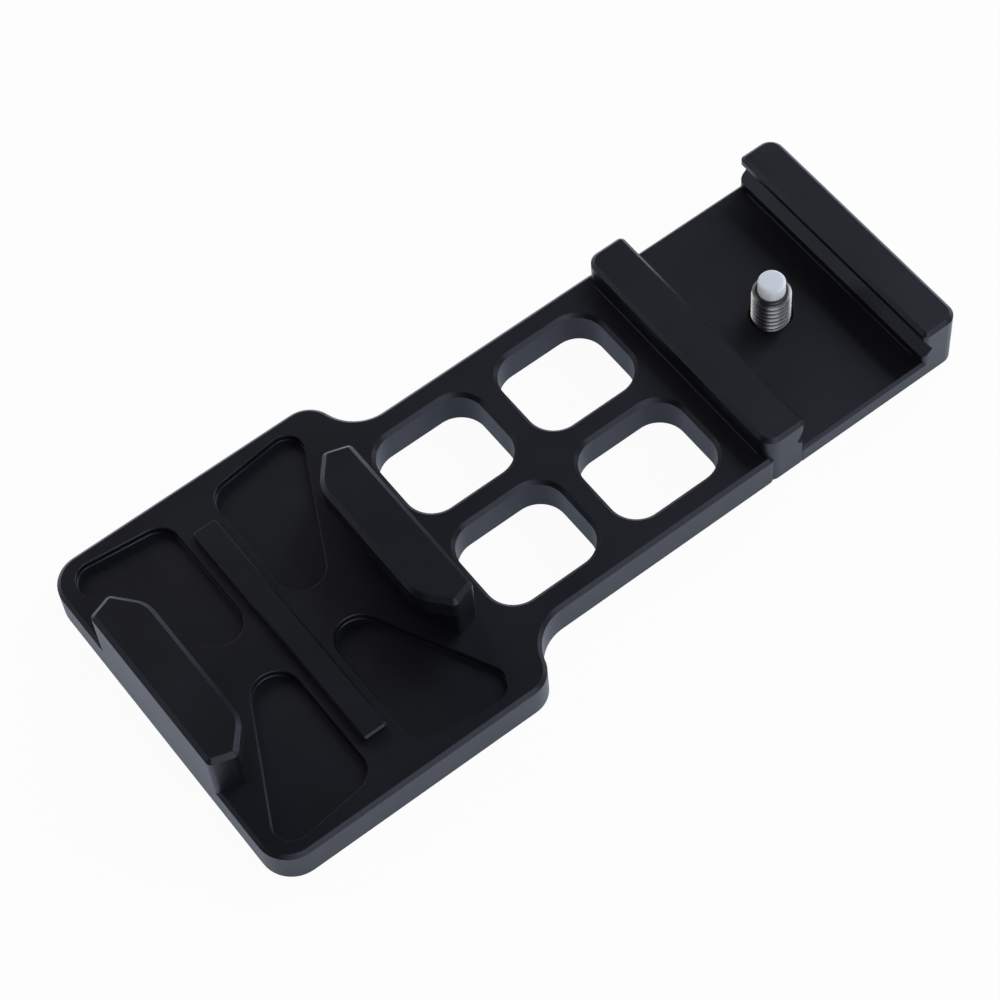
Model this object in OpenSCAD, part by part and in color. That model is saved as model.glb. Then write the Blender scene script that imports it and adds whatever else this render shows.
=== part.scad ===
// Quick-release mount that carries an action camera on a firearm accessory rail.
// One milled plate: a buckle track on the wide head, four windows in the neck and
// a V-groove clamp at the other end, locked by a set screw with a soft tip.

/* [Plate] */
// Length from the head end to the clamp end
total_l = 106.8; // [100:0.2:125]
// Thickness of the plate under the head and the neck
plate_t = 5.3; // [4.8:0.1:6.8]
// Width of the head
head_w = 49.25; // [46:0.25:56]
// Distance from the head end to the outermost point of the shoulders
head_l = 39.9; // [38.5:0.1:41]
// Width of the neck and of the clamp
neck_w = 35.5; // [33:0.5:39]
// Plan radius of the two corners at the head end
head_corner_r = 4.2; // [2:0.1:8]
// Plan radius of the two shoulders
shoulder_r = 3.8; // [2.5:0.1:5]
// Radius of the hollow curve from each shoulder into the neck
neck_fillet_r = 5.7; // [4.5:0.1:7]
// Plan radius of the corners at the clamp end
clamp_corner_r = 1.9; // [1:0.1:3]
// Bevel along the upper edges
top_bevel = 0.5; // [0.3:0.05:0.7]
// Bevel along the underside edges
bottom_bevel = 0.25; // [0.1:0.05:0.5]

/* [Windows] */
// Length of each window along the mount
window_l = 15.2; // [10:0.2:16]
// Width of each window across the mount
window_w = 12.8; // [8:0.2:13.4]
// Plan radius of the window corners
window_r = 3.75; // [1.5:0.25:4]
// Width of the cross-shaped web between the windows
web_w = 3.3; // [2.5:0.1:4]
// Shift of the window group from the middle of the free neck
window_shift = -0.2; // [-1:0.1:1]

/* [Buckle track] */
// Outside width over both buckle rails
track_w = 37.25; // [36:0.25:38]
// Width of the slot that holds the buckle base
slot_w = 30.6; // [29.5:0.1:31.5]
// Free width between the two lips
lip_gap = 24.3; // [23:0.1:26]
// Height of the buckle rails above the plate
buckle_rail_h = 7.7; // [7:0.1:9]
// Thickness of the lips
lip_t = 3.2; // [2.5:0.1:4]
// Length of a buckle rail between its two points
buckle_rail_l = 26.6; // [24:0.2:30]
// Length of the outer face of a buckle rail
buckle_rail_outer_l = 24.4; // [22:0.2:24.6]
// Length of the straight inner edge of a lip before its corners are cut back
lip_edge_l = 19.2; // [14:0.2:21]
// Plan radius where a lip edge turns into its cut-back corner
lip_turn_r = 4; // [1:0.5:6]
// Plan radius of the points and of the outer corners
rail_point_r = 0.8; // [0.7:0.1:1.2]
// Bevel around the top of the buckle rails
rail_bevel = 0.6; // [0.3:0.05:0.7]
// Width of the rib that runs along the middle of the track
rib_w = 3.35; // [2.5:0.05:4]
// Length of the rib
rib_l = 35.2; // [28:0.2:40]
// Height of the rib above the plate
rib_h = 1; // [0.6:0.1:1.4]

/* [Relief pockets] */
// Depth of the four relief pockets
pocket_d = 1; // [0.5:0.1:1.5]
// Distance from the middle of the track to the straight side beside the rib
pocket_in = 2.9; // [2.6:0.1:3.6]
// Distance across the mount from its middle to the end of a pocket beside the rib
pocket_end = 21.5; // [19:0.1:21.8]
// Rise of the end of a pocket from the rib to its outer corner
pocket_rise = 1.7; // [0:0.1:1.9]
// Distance from the middle of the track to the outer corner of a pocket, before rounding
pocket_out = 18; // [15.5:0.1:18.4]
// Lean of the slanted side of a pocket from the direction across the mount
pocket_lean = 26.5; // [22:0.5:30]
// Plan radius of the narrow end of a pocket
pocket_narrow_r = 3.1; // [2:0.1:3.4]
// Plan radius of the corner beside the rib
pocket_rib_r = 3; // [1:0.1:4]
// Plan radius of the outer corner
pocket_outer_r = 2.4; // [1:0.1:3]
// Bevel at the floor and at the rim of the pockets
pocket_bevel = 0.1; // [0.05:0.05:0.4]

/* [Rail clamp] */
// Widest dimension of the accessory rail that slides into the grooves
rail_w = 21.2; // [20.8:0.1:21.6]
// Free play between the rail and the bottoms of the two grooves, in all
rail_play = 0.27; // [0.1:0.01:0.5]
// Free width between the jaws, above and below the grooves
jaw_gap = 18.9; // [18.4:0.1:19.6]
// Height of the bottoms of the grooves above the underside
groove_z = 5.45; // [5.2:0.05:5.9]
// Height of the upper edges of the grooves above the underside
groove_top_z = 7.8; // [7.3:0.1:8]
// Height of the jaws above the underside
jaw_h = 9; // [8.8:0.1:10]
// Metal left behind the groove in the jaw beside the neck
neck_jaw_back = 4.55; // [3.5:0.05:5.5]
// Metal left behind the groove in the jaw at the end
end_jaw_back = 4.15; // [3:0.05:5.5]
// Thickness of the floor between the jaws
floor_t = 2.9; // [2.3:0.1:3.3]
// Bevel along the two free edges of the floor
floor_bevel = 0.4; // [0.2:0.05:0.6]
// Plan radius of the inner corners of the jaws
jaw_point_r = 0.7; // [0.6:0.1:1]
// Radius of the hollows at the feet of the jaws
jaw_foot_r = 0.2; // [0.15:0.05:0.8]

/* [Set screw] */
// Major diameter of the thread
screw_d = 5; // [4:1:6]
// Pitch of the thread
thread_pitch = 0.8; // [0.7:0.05:1]
// Length of the screw body without its tip
screw_l = 7.5; // [7:0.5:10]
// Height of the socket end above the underside
screw_z = 0.5; // [0.3:0.1:1]
// Running clearance around the thread
thread_play = 0.05; // [0.02:0.01:0.1]
// Width across the flats of the hexagon socket
socket_af = 2.5; // [2:0.5:3]
// Depth of the hexagon socket
socket_depth = 3; // [2:0.25:4]
// Diameter of the soft tip
tip_d = 3.5; // [3:0.1:3.9]
// Height of the soft tip above the screw body
tip_h = 2; // [1:0.1:3]
// Rounding of the upper edge of the soft tip
tip_round_r = 0.4; // [0.2:0.05:0.7]
// Diameter of the stem that holds the tip in the screw
stem_d = 2.4; // [2:0.1:2.8]
// Length of the stem
stem_l = 1.8; // [1:0.1:2.5]
// Gap around and below the stem
stem_gap = 0.05; // [0.02:0.01:0.1]

/* [Hidden] */
$fn = 96;

// How far a cutter runs past the face that it opens
past = 0.4;
// How deep a raised form is rooted in the plate
root = 1;
// Widest turn between two points of a curve that is drawn as points
arc_step = 10;
// Overlap between the middle of a prism and its sides
seam = 0.1;
// Overlap that lets a rounding cross the faces that it blends into
blend = 0.003;

// Places along the mount
head_x = -total_l / 2;
clamp_x = total_l / 2;
track_x = head_x + track_w / 2;
groove_half = (rail_w + rail_play) / 2;
jaw_half = jaw_gap / 2;
channel_x = clamp_x - end_jaw_back - groove_half;
neck_jaw_x = channel_x - groove_half - neck_jaw_back;
window_x = (head_x + track_w + neck_jaw_x) / 2 + window_shift;

// Centres of the shoulder curve and of the hollow that it flows into
shoulder_c = [head_x + head_l - shoulder_r, head_w / 2 - shoulder_r];
hollow_y = neck_w / 2 + neck_fillet_r - blend;
hollow_reach = sqrt(pow(shoulder_r + neck_fillet_r, 2) - pow(hollow_y - shoulder_c[1], 2));
hollow_c = [shoulder_c[0] + hollow_reach, hollow_y];

// Heights
rail_top_z = plate_t + buckle_rail_h;
lip_z = rail_top_z - lip_t;
groove_low_z = groove_z - (groove_half - jaw_half);
screw_end_bevel = 0.6 * thread_pitch;
bore_d = screw_d + 2 * thread_play;

// Edge profiles, as [offset outward, height] from the bottom up
plate_edge = [[-bottom_bevel, 0], [0, bottom_bevel], [0, plate_t - top_bevel], [-top_bevel, plate_t]];
floor_edge = [[-bottom_bevel, 0], [0, bottom_bevel], [0, floor_t - floor_bevel], [-floor_bevel, floor_t]];
jaw_edge = [[-bottom_bevel, 0], [0, bottom_bevel], [0, jaw_h - top_bevel], [-top_bevel, jaw_h]];
window_edge = [
    [bottom_bevel + past, -past],
    [0, bottom_bevel],
    [0, plate_t - top_bevel],
    [top_bevel + past, plate_t + past]
];
pocket_edge = [
    [-pocket_bevel, plate_t - pocket_d],
    [0, plate_t - pocket_d + pocket_bevel],
    [0, plate_t - pocket_bevel],
    [pocket_bevel + past, plate_t + past]
];
buckle_rail_edge = [[0, plate_t - root], [0, rail_top_z - rail_bevel], [-rail_bevel, rail_top_z]];
rib_edge = [[0, plate_t - root], [0, plate_t + rib_h - top_bevel / 2], [-top_bevel / 2, plate_t + rib_h]];

// Outlines, as [x, y, corner radius] counterclockwise
head_outline = [
    [head_x, -head_w / 2, head_corner_r],
    [head_x + head_l, -head_w / 2, shoulder_r],
    [head_x + head_l, head_w / 2, shoulder_r],
    [head_x, head_w / 2, head_corner_r]
];
buckle_rail_outline = [
    [track_w / 2, -buckle_rail_outer_l / 2, rail_point_r],
    [track_w / 2, buckle_rail_outer_l / 2, rail_point_r],
    [slot_w / 2, buckle_rail_l / 2, rail_point_r],
    [lip_gap / 2, lip_edge_l / 2, lip_turn_r],
    [lip_gap / 2, -lip_edge_l / 2, lip_turn_r],
    [slot_w / 2, -buckle_rail_l / 2, rail_point_r]
];
pocket_narrow_y = pocket_end + pocket_rise - (pocket_out - pocket_in) / tan(pocket_lean);
pocket_outline = [
    [pocket_in, pocket_narrow_y, pocket_narrow_r],
    [pocket_out, pocket_end + pocket_rise, pocket_outer_r],
    [pocket_in, pocket_end, pocket_rib_r]
];

// Direction from one point to another
function toward(a, b) = (b - a) / norm(b - a);

// Half of the angle between the two sides that meet at q
function half_angle(p, q, r) = acos(toward(q, p) * toward(q, r)) / 2;

// Centre of the rounding at q
function round_centre(p, q, r, radius) =
    let (middle = toward(q, p) + toward(q, r))
    q + middle / norm(middle) * radius / sin(half_angle(p, q, r));

// Point on the side from q to r where the rounding at q ends
function round_end(p, q, r, radius) =
    q + toward(q, r) * radius / tan(half_angle(p, q, r));

// Rectangle from x0 to x1, centred across, as an outline
function strip(x0, x1, w, r0, r1) =
    [[x0, -w / 2, r0], [x1, -w / 2, r1], [x1, w / 2, r1], [x0, w / 2, r0]];

// Prism over a convex outline with rounded corners, whose edge follows a profile
module edged_prism(outline, profile) {
    count = len(outline);
    low = profile[0][1];
    high = profile[len(profile) - 1][1];
    inset = max(0, max([for (q = profile) -q[0]])) + seam;
    points = [for (c = outline) [c[0], c[1]]];
    radii = [for (c = outline) c[2]];
    starts = [for (i = [0:count - 1])
        round_end(points[(i + count - 1) % count], points[i], points[(i + 1) % count], radii[i])];
    ends = [for (i = [0:count - 1])
        round_end(points[(i + 2) % count], points[(i + 1) % count], points[i], radii[(i + 1) % count])];
    normals = [for (i = [0:count - 1]) let (u = toward(starts[i], ends[i])) [u[1], -u[0]]];
    translate([0, 0, low])
        linear_extrude(high - low)
            polygon([for (i = [0:count - 1]) each [starts[i] - inset * normals[i], ends[i] - inset * normals[i]]]);
    for (i = [0:count - 1]) {
        depth = max(min(radii[i], radii[(i + 1) % count]), inset + seam);
        translate([ends[i][0], ends[i][1], 0])
            rotate([0, 0, atan2(normals[i][1], normals[i][0])])
                rotate([90, 0, 0])
                    linear_extrude(norm(ends[i] - starts[i]))
                        polygon(concat([[-depth, low]], profile, [[-depth, high]]));
        centre = round_centre(points[(i + count - 1) % count], points[i], points[(i + 1) % count], radii[i]);
        translate([centre[0], centre[1], 0])
            rotate_extrude()
                polygon(concat([[0, low]], [for (q = profile) [radii[i] + q[0] + blend, q[1]]], [[0, high]]));
    }
}

// Points of a convex outline with rounded corners, moved outward by an offset
function rounded_points(outline, offset) = [
    for (i = [0:len(outline) - 1])
        let (
            count = len(outline),
            p = [outline[(i + count - 1) % count][0], outline[(i + count - 1) % count][1]],
            q = [outline[i][0], outline[i][1]],
            r = [outline[(i + 1) % count][0], outline[(i + 1) % count][1]],
            into = toward(p, q),
            away = toward(q, r),
            turn = acos(into * away),
            steps = ceil(turn / arc_step),
            centre = round_centre(p, q, r, outline[i][2])
        )
        for (k = [0:steps])
            let (a = atan2(into[1], into[0]) - 90 + turn * k / steps)
            centre + (outline[i][2] + offset) * [cos(a), sin(a)]
];

// Solid over a convex outline, built as one ring of points for each step of its edge profile
module ringed_prism(outline, profile) {
    rings = [for (q = profile) rounded_points(outline, q[0])];
    count = len(rings[0]);
    last = len(profile) - 1;
    polyhedron(
        points = [for (k = [0:last], p = rings[k]) [p[0], p[1], profile[k][1]]],
        faces = concat(
            [[for (i = [0:count - 1]) i]],
            [for (k = [0:last - 1], i = [0:count - 1])
                let (j = (i + 1) % count)
                [k * count + i, (k + 1) * count + i, (k + 1) * count + j, k * count + j]],
            [[for (i = [count - 1:-1:0]) last * count + i]]
        )
    );
}

// Bar of a given cross-section in x and z, running across the mount
module cross_bar(section, width) {
    translate([0, width / 2, 0])
        rotate([90, 0, 0])
            linear_extrude(width)
                polygon(section);
}

// Web that fills the corner between a shoulder and the neck, up to the hollow curve
module neck_corner() {
    difference() {
        linear_extrude(plate_t)
            polygon([
                shoulder_c,
                [shoulder_c[0], neck_w / 2 - root],
                [hollow_c[0], neck_w / 2 - root],
                hollow_c
            ]);
        translate([hollow_c[0], hollow_c[1], 0])
            rotate_extrude()
                polygon([
                    [0, -past],
                    [neck_fillet_r + bottom_bevel + past, -past],
                    [neck_fillet_r, bottom_bevel],
                    [neck_fillet_r, plate_t - top_bevel],
                    [neck_fillet_r + top_bevel + past, plate_t + past],
                    [0, plate_t + past]
                ]);
    }
}

// Head and neck, before anything is cut or raised
module plate_blank() {
    edged_prism(head_outline, plate_edge);
    edged_prism(strip(shoulder_c[0] - shoulder_r, neck_jaw_x + root + top_bevel, neck_w, root, root), plate_edge);
    neck_corner();
    mirror([0, 1, 0]) neck_corner();
}

// Four relief pockets around the rib
module pockets() {
    for (side = [0, 1], end = [0, 1])
        translate([track_x, 0, 0])
            mirror([side, 0, 0])
                mirror([0, end, 0])
                    ringed_prism(pocket_outline, pocket_edge);
}

// Four windows around the cross-shaped web
module windows() {
    for (sx = [-1, 1], sy = [-1, 1])
        translate([window_x + sx * (window_l + web_w) / 2, sy * (window_w + web_w) / 2, 0])
            edged_prism(strip(-window_l / 2, window_l / 2, window_w, window_r, window_r), window_edge);
}

// Buckle rail on the neck side of the track, with the undercut below its lip
module buckle_rail() {
    difference() {
        ringed_prism(buckle_rail_outline, buckle_rail_edge);
        translate([0, -buckle_rail_l, plate_t - root - past])
            cube([slot_w / 2, 2 * buckle_rail_l, lip_z - plate_t + root + past]);
    }
}

// Both buckle rails and the rib between them
module buckle_track() {
    translate([track_x, 0, 0]) {
        buckle_rail();
        mirror([1, 0, 0]) buckle_rail();
        edged_prism(strip(-rib_w / 2, rib_w / 2, rib_l, top_bevel, top_bevel), rib_edge);
    }
}

// Hollow at the foot of a wall that faces -x
module foot_hollow(wall_x, base_z, width) {
    translate([wall_x, width / 2, base_z])
        rotate([90, 0, 0])
            linear_extrude(width)
                difference() {
                    translate([-jaw_foot_r, 0])
                        square([jaw_foot_r + root / 2, jaw_foot_r]);
                    translate([-jaw_foot_r, jaw_foot_r])
                        circle(jaw_foot_r);
                }
}

// Floor and jaws of the clamp, with the grooves for the rail
module rail_clamp() {
    foot_w = neck_w - 2 * max(clamp_corner_r, floor_bevel);
    difference() {
        union() {
            edged_prism(strip(channel_x - jaw_half - root, clamp_x, neck_w, root, clamp_corner_r), floor_edge);
            edged_prism(strip(neck_jaw_x, channel_x - jaw_half, neck_w, clamp_corner_r, jaw_point_r), jaw_edge);
            edged_prism(strip(channel_x + jaw_half, clamp_x, neck_w, jaw_point_r, clamp_corner_r), jaw_edge);
        }
        translate([channel_x, 0, 0])
            cross_bar([
                [-jaw_half + past, groove_top_z + past * (groove_top_z - groove_z) / (groove_half - jaw_half)],
                [-groove_half, groove_z],
                [-jaw_half + past, groove_low_z - past],
                [jaw_half - past, groove_low_z - past],
                [groove_half, groove_z],
                [jaw_half - past, groove_top_z + past * (groove_top_z - groove_z) / (groove_half - jaw_half)]
            ], 2 * neck_w);
    }
    foot_hollow(neck_jaw_x, plate_t, foot_w);
    foot_hollow(channel_x + jaw_half, floor_t, foot_w);
    translate([channel_x, 0, 0])
        mirror([1, 0, 0])
            foot_hollow(jaw_half, floor_t, foot_w);
}

// Tapped bore through the floor, bevelled at both ends
module screw_bore() {
    translate([channel_x, 0, -past])
        cylinder(d = bore_d, h = floor_t + 2 * past);
    for (end = [0, 1])
        translate([channel_x, 0, end * floor_t])
            mirror([0, 0, end])
                translate([0, 0, -past])
                    cylinder(r1 = bore_d / 2 + bottom_bevel + past, r2 = bore_d / 2, h = bottom_bevel + past);
}

module plate_body() {
    color("#1d1e21")
        difference() {
            union() {
                plate_blank();
                rail_clamp();
                buckle_track();
            }
            pockets();
            windows();
            screw_bore();
        }
}

module set_screw() {
    color("#8b8d90")
        translate([channel_x, 0, screw_z])
            difference() {
                rotate_extrude()
                    polygon([
                        [0, 0],
                        [screw_d / 2 - screw_end_bevel, 0],
                        [screw_d / 2, screw_end_bevel],
                        [screw_d / 2, screw_l - screw_end_bevel],
                        [screw_d / 2 - screw_end_bevel, screw_l],
                        [0, screw_l]
                    ]);
                translate([0, 0, -past])
                    cylinder(d = socket_af / cos(30), h = socket_depth + past, $fn = 6);
                translate([0, 0, screw_l - stem_l - stem_gap])
                    cylinder(d = stem_d + 2 * stem_gap, h = stem_l + stem_gap + past);
            }
}

module nylon_tip() {
    color("#f2f1ec")
        translate([channel_x, 0, screw_z + screw_l]) {
            rotate_extrude()
                union() {
                    square([tip_d / 2 - tip_round_r, tip_h]);
                    square([tip_d / 2, tip_h - tip_round_r]);
                    translate([tip_d / 2 - tip_round_r, tip_h - tip_round_r])
                        intersection() {
                            circle(tip_round_r);
                            square(tip_round_r);
                        }
                }
            translate([0, 0, -stem_l])
                cylinder(d = stem_d, h = stem_l + tip_h / 2);
        }
}

plate_body();
set_screw();
nylon_tip();
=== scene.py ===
import math

import bmesh
import bpy
from mathutils import Matrix, Vector


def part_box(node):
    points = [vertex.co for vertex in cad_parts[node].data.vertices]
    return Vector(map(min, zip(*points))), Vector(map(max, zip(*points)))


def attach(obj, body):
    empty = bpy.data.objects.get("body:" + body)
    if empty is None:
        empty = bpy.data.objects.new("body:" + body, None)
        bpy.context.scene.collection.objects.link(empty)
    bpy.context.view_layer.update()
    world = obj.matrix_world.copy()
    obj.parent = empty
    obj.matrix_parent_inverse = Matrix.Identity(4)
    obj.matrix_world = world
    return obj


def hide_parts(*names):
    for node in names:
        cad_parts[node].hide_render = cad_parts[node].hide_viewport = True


print("scene: loading the frame")
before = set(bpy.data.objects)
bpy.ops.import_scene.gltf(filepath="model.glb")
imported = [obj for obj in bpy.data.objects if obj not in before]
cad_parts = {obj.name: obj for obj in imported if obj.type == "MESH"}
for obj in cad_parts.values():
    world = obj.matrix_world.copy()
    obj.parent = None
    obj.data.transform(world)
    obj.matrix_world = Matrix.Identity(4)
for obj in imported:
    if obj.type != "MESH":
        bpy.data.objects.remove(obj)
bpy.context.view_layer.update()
mm = 0.001


# Shader maths. A Wire is one socket, and sums and products of wires add their nodes.

class Wire:
    def __init__(self, tree, socket):
        self.tree = tree
        self.socket = socket

    def maths(self, operation, first, second):
        return self.tree.add("ShaderNodeMath", {"operation": operation}, {0: first, 1: second})

    def output(self, name):
        return Wire(self.tree, self.socket.node.outputs[name])

    def clipped(self):
        return self.tree.add("ShaderNodeClamp", {}, {"Value": self})

    def between(self, low, high):  # 0 up to the low value, 1 from the high one
        return ((self - low) / (high - low)).clipped()

    def __add__(self, other):
        return self.maths("ADD", self, other)

    def __radd__(self, other):
        return self.maths("ADD", other, self)

    def __sub__(self, other):
        return self.maths("SUBTRACT", self, other)

    def __rsub__(self, other):
        return self.maths("SUBTRACT", other, self)

    def __mul__(self, other):
        return self.maths("MULTIPLY", self, other)

    def __rmul__(self, other):
        return self.maths("MULTIPLY", other, self)

    def __truediv__(self, other):
        return self.maths("DIVIDE", self, other)

    def __rtruediv__(self, other):
        return self.maths("DIVIDE", other, self)


class Tree:
    def __init__(self, owner):
        owner.use_nodes = True
        self.nodes = owner.node_tree.nodes
        self.links = owner.node_tree.links
        self.nodes.clear()

    def add(self, kind, settings, values, output=0):
        node = self.nodes.new(kind)
        for name, value in settings.items():  # settings first, since they decide which sockets there are
            setattr(node, name, value)
        for key, value in values.items():
            if isinstance(value, Wire):
                self.links.new(value.socket, node.inputs[key])
            else:
                node.inputs[key].default_value = value
        if node.outputs:
            return Wire(self, node.outputs[output])

    def blend(self, factor, first, second):  # two colours
        return self.add("ShaderNodeMix", {"data_type": "RGBA"}, {0: factor, 6: first, 7: second}, 2)

    def vectorMaths(self, operation, first, second=(0, 0, 0)):
        output = "Value" if operation == "LENGTH" else "Vector"
        return self.add("ShaderNodeVectorMath", {"operation": operation}, {0: first, 1: second}, output)

    def place(self):
        return self.add("ShaderNodeTexCoord", {}, {}, "Object")

    def noise(self, size, detail=2.0, roughness=0.5):  # size is the width of its patches in metres
        values = {"Vector": self.place(), "Scale": 1 / size, "Detail": detail, "Roughness": roughness}
        return self.add("ShaderNodeTexNoise", {}, values)

    def bump(self, height, depth):
        return self.add("ShaderNodeBump", {}, {"Height": height, "Distance": depth, "Strength": 1.0})

    def finish(self, shader, kind="ShaderNodeOutputMaterial"):
        self.add(kind, {}, {"Surface": shader})


def paint(piece, material):
    piece.data.materials.clear()
    piece.data.materials.append(material)


# Materials

anodising = {
    "deep": (0.0014, 0.0014, 0.0020, 1),
    "pale": (0.0030, 0.0031, 0.0042, 1),
    "patches": 9 * mm,
    "grain": 0.17 * mm,  # width of one dimple of the blasted surface
    "grainDepth": 0.006 * mm,
    "grainShare": 0.3,  # of the mottle, which the patches make up to 1
    "deepAt": 0.2,  # the mottle that has the deep colour, and the one that has the pale colour
    "paleAt": 0.825,
    "roughness": 0.38,
    "patchRoughness": 0.08,
    "grainRoughness": 0.06,
    "edgeTint": (0.80, 0.83, 1.0, 1),  # colours what the surface mirrors
}


def anodisedBlack():
    look = anodising
    material = bpy.data.materials.new("anodisedBlack")
    tree = Tree(material)
    cloud = tree.noise(look["patches"], detail=3.0)
    grain = tree.noise(look["grain"], roughness=0.6)
    mottle = cloud * (1 - look["grainShare"]) + grain * look["grainShare"]
    paleness = mottle.between(look["deepAt"], look["paleAt"])
    spread = (cloud - 0.5) * look["patchRoughness"] + (grain - 0.5) * look["grainRoughness"]
    shader = tree.add("ShaderNodeBsdfPrincipled", {}, {
        "Base Color": tree.blend(paleness, look["deep"], look["pale"]),
        "Roughness": look["roughness"] + spread,
        "Normal": tree.bump(grain, look["grainDepth"]),
        "Specular Tint": look["edgeTint"],
    })
    tree.finish(shader)
    return material


steel = {
    "bright": (0.22, 0.22, 0.23, 1),
    "paintedRootShade": (0.02, 0.019, 0.018, 1),  # painted shade in the roots of the thread
    "crestShine": 0.8,  # shares of the bright colour on a crest, out of the painted root shade, and in a full scratch
    "scratchShine": 0.4,
    "scratches": 0.12 * mm,
    "scratchDepth": 0.003 * mm,
    "roughness": 0.24,
    "scratchRoughness": 0.2,
    "rootRoughness": 0.15,
}


def threadedSteel(axisX, axisY, rootRadius, crestRadius):
    look = steel
    material = bpy.data.materials.new("threadedSteel")
    tree = Tree(material)
    fromAxis = tree.vectorMaths("SUBTRACT", tree.place(), (axisX, axisY, 0))
    radius = tree.vectorMaths("LENGTH", tree.vectorMaths("MULTIPLY", fromAxis, (1, 1, 0)))
    # painted shade: 0 in a thread root, where the colour is darkest, and 1 on a crest
    unshaded = radius.between(rootRadius, crestRadius)
    scratch = tree.noise(look["scratches"], detail=3.0, roughness=0.7)
    shine = (unshaded * look["crestShine"] + scratch * look["scratchShine"]).clipped()
    spread = (scratch - 0.5) * look["scratchRoughness"] + (1 - unshaded) * look["rootRoughness"]
    shader = tree.add("ShaderNodeBsdfPrincipled", {}, {
        "Base Color": tree.blend(shine, look["paintedRootShade"], look["bright"]),
        "Metallic": 1.0,
        "Roughness": look["roughness"] + spread,
        "Normal": tree.bump(scratch, look["scratchDepth"]),
    })
    tree.finish(shader)
    return material


nylon = {
    "unshaded": (0.93, 0.94, 0.95, 1),
    "shadedAndWorn": (0.60, 0.63, 0.67, 1),  # painted shade on the end that faces up, and worn tone where the patches are strong
    "patches": 0.9 * mm,
    "paintedTopShade": 1.2,  # painted shade where the surface faces straight up
    "patchWear": 0.3,  # worn tone that a full patch adds
    "unshadedAt": 0.25,  # the amount of painted shade and worn tone that has the unshaded colour, and the one that has the shaded and worn colour
    "shadedAndWornAt": 1.25,
    "turningMarks": 0.1 * mm,
    "markDepth": 0.004 * mm,
    "roughness": 0.38,
    "markRoughness": 0.2,
    "translucency": 0.8,
    "lightReach": 1.2 * mm,  # inside the nylon
    "lightReachByColour": (1.0, 1.0, 0.95),
}


def whiteNylon():
    look = nylon
    material = bpy.data.materials.new("whiteNylon")
    tree = Tree(material)
    cloud = tree.noise(look["patches"], detail=3.0)
    marks = tree.noise(look["turningMarks"], roughness=0.6)
    facing = tree.add("ShaderNodeNewGeometry", {}, {}, "Normal")
    facingUp = tree.add("ShaderNodeSeparateXYZ", {}, {0: facing}, "Z")
    # painted shade: the nylon is darker where it faces up, plus worn tone in random patches
    shadeAndWear = (facingUp * look["paintedTopShade"] + cloud * look["patchWear"]).between(look["unshadedAt"], look["shadedAndWornAt"])
    shader = tree.add("ShaderNodeBsdfPrincipled", {}, {
        "Base Color": tree.blend(shadeAndWear, look["unshaded"], look["shadedAndWorn"]),
        "Roughness": look["roughness"] + (marks - 0.5) * look["markRoughness"],
        "Normal": tree.bump(marks, look["markDepth"]),
        "Subsurface Weight": look["translucency"],
        "Subsurface Radius": look["lightReachByColour"],
        "Subsurface Scale": look["lightReach"],
    })
    tree.finish(shader)
    return material


# The set screw, with its real thread in place of the plain solid

setScrew = {
    "pitch": 0.8 * mm,
    "crestShare": 0.125,  # flat on the crest, as a share of the pitch
    "rootShare": 0.2,
    "depth": 0.47 * mm,
    "socketFlats": 2.5 * mm,
    "socketDepth": 3.0 * mm,
    "socketPoint": 0.3 * mm,  # depth of the cone that the drill left
    "holeRadius": 1.25 * mm,  # for the stem of the soft tip
    "holeDepth": 1.85 * mm,
    "sides": 96,  # round one turn, a multiple of 12
    "sharpFrom": 35,  # degrees between two faces that meet in a sharp edge
}


class TurnedMesh:  # points in rings round one upright axis, and the faces between them
    def __init__(self, axisX, axisY, sides):
        self.mesh = bmesh.new()
        self.axisX = axisX
        self.axisY = axisY
        self.sides = sides
        self.corners = {}

    def corner(self, line, side, radius, height):  # made once for each line and side
        if (line, side) not in self.corners:
            angle = 2 * math.pi * side / self.sides
            spot = (self.axisX + radius * math.cos(angle), self.axisY + radius * math.sin(angle), height)
            self.corners[line, side] = self.mesh.verts.new(spot)
        return self.corners[line, side]

    def ring(self, line, radii, height):
        return [self.corner(line, side, radii[side], height) for side in range(self.sides)]

    def face(self, loop):
        loop = [c for i, c in enumerate(loop) if c not in loop[:i]]  # corners that fell together count once
        if len(loop) > 2:
            self.mesh.faces.new(loop)

    def join(self, first, second):
        for side in range(self.sides):
            after = (side + 1) % self.sides
            self.face([first[side], first[after], second[after], second[side]])

    def bore(self, name, edge, radii, mouth, end, point):  # from the edge of an end face into the piece
        mouthRing = self.ring(name + "Mouth", radii, mouth)
        endRing = self.ring(name + "End", radii, end)
        self.join(edge, mouthRing)
        self.join(mouthRing, endRing)
        middle = self.mesh.verts.new((self.axisX, self.axisY, point))
        self.join(endRing, [middle] * self.sides)

    def piece(self, name, sharpFrom):
        bmesh.ops.recalc_face_normals(self.mesh, faces=self.mesh.faces)
        data = bpy.data.meshes.new(name)
        self.mesh.to_mesh(data)
        self.mesh.free()
        data.shade_smooth()
        data.set_sharp_from_angle(angle=math.radians(sharpFrom))
        piece = bpy.data.objects.new(name, data)
        bpy.context.scene.collection.objects.link(piece)
        return piece


def threadLines(rootRadius, crestRadius):  # rise, in turns, and radius of the four edges of one turn
    root, crest = setScrew["rootShare"], setScrew["crestShare"]
    flank = (1 - root - crest) / 2
    return [
        (0.0, rootRadius),
        (root, rootRadius),
        (root + flank, crestRadius),
        (root + flank + crest, crestRadius),
    ]


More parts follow.
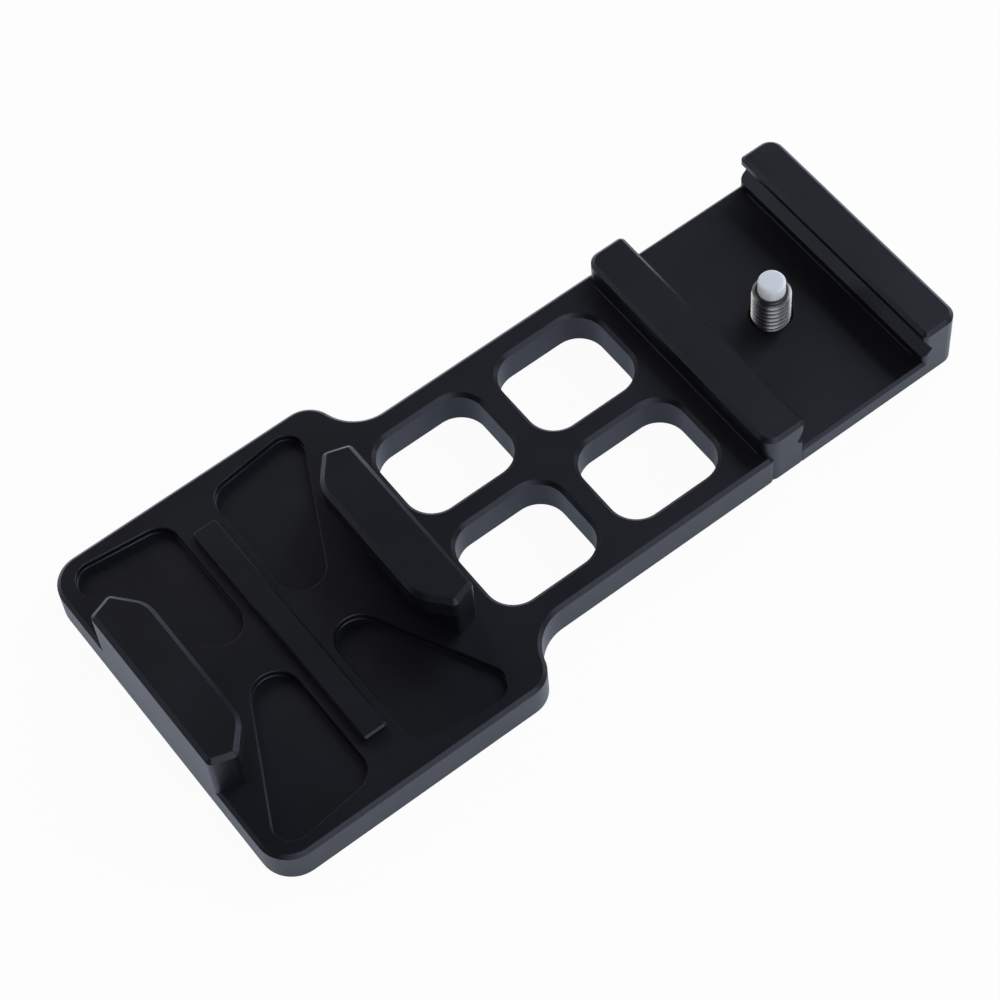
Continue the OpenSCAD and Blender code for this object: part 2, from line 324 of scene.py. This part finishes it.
def cutThread(turned, low, high, rootRadius, crestRadius):
    pitch = setScrew["pitch"]
    lines = threadLines(rootRadius, crestRadius)
    turnsBelow = 2  # turns that start below the lower end and are cut off there
    turns = math.ceil((high - low) / pitch) + turnsBelow + 1

    def corner(line, side):
        if side == turned.sides:  # one turn on, a line meets the next turn's
            line, side = line + len(lines), 0
        rise, radius = lines[line % len(lines)]
        height = low + (line // len(lines) - turnsBelow + side / turned.sides + rise) * pitch
        if height <= low:
            return turned.corner("low", side, rootRadius, low)
        if height >= high:
            return turned.corner("high", side, rootRadius, high)
        bevelled = rootRadius + min(height - low, high - height)  # 45 degrees at both ends
        return turned.corner(line, side, min(radius, bevelled), height)

    for line in range(len(lines) * turns):
        for side in range(turned.sides):
            lower = [corner(line, side), corner(line, side + 1)]
            upper = [corner(line + 1, side + 1), corner(line + 1, side)]
            turned.face(lower + upper)


def hexagonRadii(flats, sides):
    sixth = math.pi / 3
    turns = ((2 * math.pi * side / sides) % sixth for side in range(sides))
    return [flats / 2 / math.cos(turn - sixth / 2) for turn in turns]


def makeSetScrew(low, high):
    size = setScrew
    sides = size["sides"]
    axisX, axisY = (low.x + high.x) / 2, (low.y + high.y) / 2
    crestRadius = (high.x - low.x) / 2
    rootRadius = crestRadius - size["depth"]
    turned = TurnedMesh(axisX, axisY, sides)
    cutThread(turned, low.z, high.z, rootRadius, crestRadius)
    lowEdge = turned.ring("low", [rootRadius] * sides, low.z)
    highEdge = turned.ring("high", [rootRadius] * sides, high.z)
    socketEnd = low.z + size["socketDepth"]
    hexagon = hexagonRadii(size["socketFlats"], sides)
    turned.bore("socket", lowEdge, hexagon, low.z, socketEnd, socketEnd + size["socketPoint"])
    holeEnd = high.z - size["holeDepth"]
    turned.bore("hole", highEdge, [size["holeRadius"]] * sides, high.z, holeEnd, holeEnd)
    piece = turned.piece("setScrewThread", size["sharpFrom"])
    paint(piece, threadedSteel(axisX, axisY, rootRadius, crestRadius))
    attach(piece, "screw")
    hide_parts("set_screw")


# Studio: a pale floor and a plain room with softboxes round the mount

room = {
    "horizonBack": (0.08, 0.08, 0.08, 1),  # the walls at the horizon, on the far side from the camera
    "horizonFront": (0.06, 0.06, 0.06, 1),
    "halfBlend": 0.25,  # how far on each side of the middle the one goes over into the other
    "overhead": (0.02, 0.02, 0.025, 1),
    "darkFrom": 0.20,  # height of a direction, from 0 at the horizon to 1 straight up
    "darkTo": 0.35,
    "floorSize": 6.0,  # metres
    "floorDrop": 0.05 * mm,  # below the underside, so that the two faces don't coincide
    "floorWhite": (0.80, 0.80, 0.80, 1),
    "floorGlow": 0.95,  # share of the floor's brightness, as the camera sees it, that no shadow reaches
    "mirroredGlow": (0.27, 0.31, 0.40, 1),  # what is added in reflections, which show the shade at the foot
    "lampDistance": 1.2,  # metres from the middle of the mount
}

softboxes = {  # degrees from +X towards +Y, degrees up, width and height in degrees, and its own brightness
    "rightBox": (0, 35, 40, 40, (4.05, 4.30, 4.60)),
    "backRightBox": (45, 25, 40, 20, (1.20, 1.42, 1.60)),
    "backBox": (90, 25, 40, 20, (4.20, 3.90, 3.70)),
    "backLeftBox": (132, 27, 36, 25, (1.45, 1.52, 1.62)),
    "frontBox": (278, 34, 48, 40, (1.62, 1.66, 1.82)),
    "cameraBox": (240, 65, 30, 20, (1.90, 2.10, 2.15)),
    "lowCameraBox": (238, 13, 36, 14, (2.70, 2.75, 2.80)),
    "topBox": (240, 84, 24, 16, (0.40, 0.40, 0.50)),
}


def makeFloor():
    half = room["floorSize"] / 2
    data = bpy.data.meshes.new("floor")
    corners = [(-half, -half, 0), (half, -half, 0), (half, half, 0), (-half, half, 0)]
    data.from_pydata(corners, [], [(0, 1, 2, 3)])
    floor = bpy.data.objects.new("floor", data)
    floor.location.z = -room["floorDrop"]
    bpy.context.scene.collection.objects.link(floor)
    material = bpy.data.materials.new("paleFloor")
    tree = Tree(material)
    ray = tree.add("ShaderNodeLightPath", {}, {}, "Is Camera Ray")
    mirrored = (ray.output("Is Glossy Ray") + ray.output("Is Transmission Ray")).clipped()
    paper = tree.add("ShaderNodeBsdfDiffuse", {}, {"Color": room["floorWhite"]})
    white = tree.add("ShaderNodeEmission", {}, {"Color": (1, 1, 1, 1), "Strength": 1.0})
    shade = tree.add("ShaderNodeEmission", {}, {"Color": room["mirroredGlow"], "Strength": mirrored})
    lit = tree.add("ShaderNodeAddShader", {}, {0: paper, 1: shade})
    tree.finish(tree.add("ShaderNodeMixShader", {}, {0: ray * room["floorGlow"], 1: lit, 2: white}))
    paint(floor, material)


def makeWorld():
    world = bpy.data.worlds.new("room")
    bpy.context.scene.world = world
    tree = Tree(world)
    direction = tree.add("ShaderNodeTexCoord", {}, {}, "Generated")
    height = tree.add("ShaderNodeSeparateXYZ", {}, {0: direction}, "Z")
    back = (height.output("X") + height.output("Y")).between(-room["halfBlend"], room["halfBlend"])
    wall = tree.blend(back, room["horizonFront"], room["horizonBack"])
    rise = height.between(room["darkFrom"], room["darkTo"])
    walls = tree.add("ShaderNodeBackground", {}, {"Color": tree.blend(rise, wall, room["overhead"])})
    white = tree.add("ShaderNodeBackground", {}, {"Color": (1, 1, 1, 1)})
    camera = tree.add("ShaderNodeLightPath", {}, {}, "Is Camera Ray")
    tree.finish(tree.add("ShaderNodeMixShader", {}, {0: camera, 1: walls, 2: white}), "ShaderNodeOutputWorld")


def makeLamps():
    distance = room["lampDistance"]
    for name, (turn, rise, width, height, colour) in softboxes.items():
        turn, rise = math.radians(turn), math.radians(rise)
        spot = Vector((math.cos(turn) * math.cos(rise), math.sin(turn) * math.cos(rise), math.sin(rise)))
        light = bpy.data.lights.new(name, "AREA")
        light.shape = "RECTANGLE"
        light.size = 2 * distance * math.tan(math.radians(width / 2))
        light.size_y = 2 * distance * math.tan(math.radians(height / 2))
        light.energy = math.pi * light.size * light.size_y  # the power that makes its colour its brightness
        light.color = colour
        lamp = bpy.data.objects.new(name, light)
        lamp.location = spot * distance
        lamp.rotation_euler = spot.to_track_quat("Z", "Y").to_euler()
        bpy.context.scene.collection.objects.link(lamp)


cameraView = {
    "aim": (-4.77 * mm, -1.49 * mm, 5.3 * mm),
    "distance": 369.79 * mm,
    "heading": 31.70,  # degrees from +Y towards +X
    "elevation": 58.945,
    "roll": -6.374,
    "lens": 111.25,  # in millimetres, like the width of its sensor
    "sensorWidth": 36,
    "clipStart": 10 * mm,
}


def makeCamera():
    heading, elevation, roll = (math.radians(cameraView[k]) for k in ("heading", "elevation", "roll"))
    forward = Vector((
        math.sin(heading) * math.cos(elevation),
        math.cos(heading) * math.cos(elevation),
        -math.sin(elevation),
    ))
    level = forward.cross(Vector((0, 0, 1))).normalized()
    right = level * math.cos(roll) + level.cross(forward) * math.sin(roll)
    up = right.cross(forward)
    data = bpy.data.cameras.new("camera")
    data.lens = cameraView["lens"]
    data.sensor_width = cameraView["sensorWidth"]
    data.clip_start = cameraView["clipStart"]
    camera = bpy.data.objects.new("camera", data)
    turn = Matrix((right, up, -forward)).transposed().to_4x4()
    place = Vector(cameraView["aim"]) - forward * cameraView["distance"]
    camera.matrix_world = Matrix.Translation(place) @ turn
    bpy.context.scene.collection.objects.link(camera)
    bpy.context.scene.camera = camera


print("scene: camera, floor, room and lamps")
makeCamera()
makeFloor()
makeWorld()
makeLamps()
bpy.context.scene.view_settings.view_transform = "Standard"

print("scene: plate")
paint(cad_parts["plate_body"], anodisedBlack())

print("scene: screw and tip")
makeSetScrew(*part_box("set_screw"))
paint(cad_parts["nylon_tip"], whiteNylon())
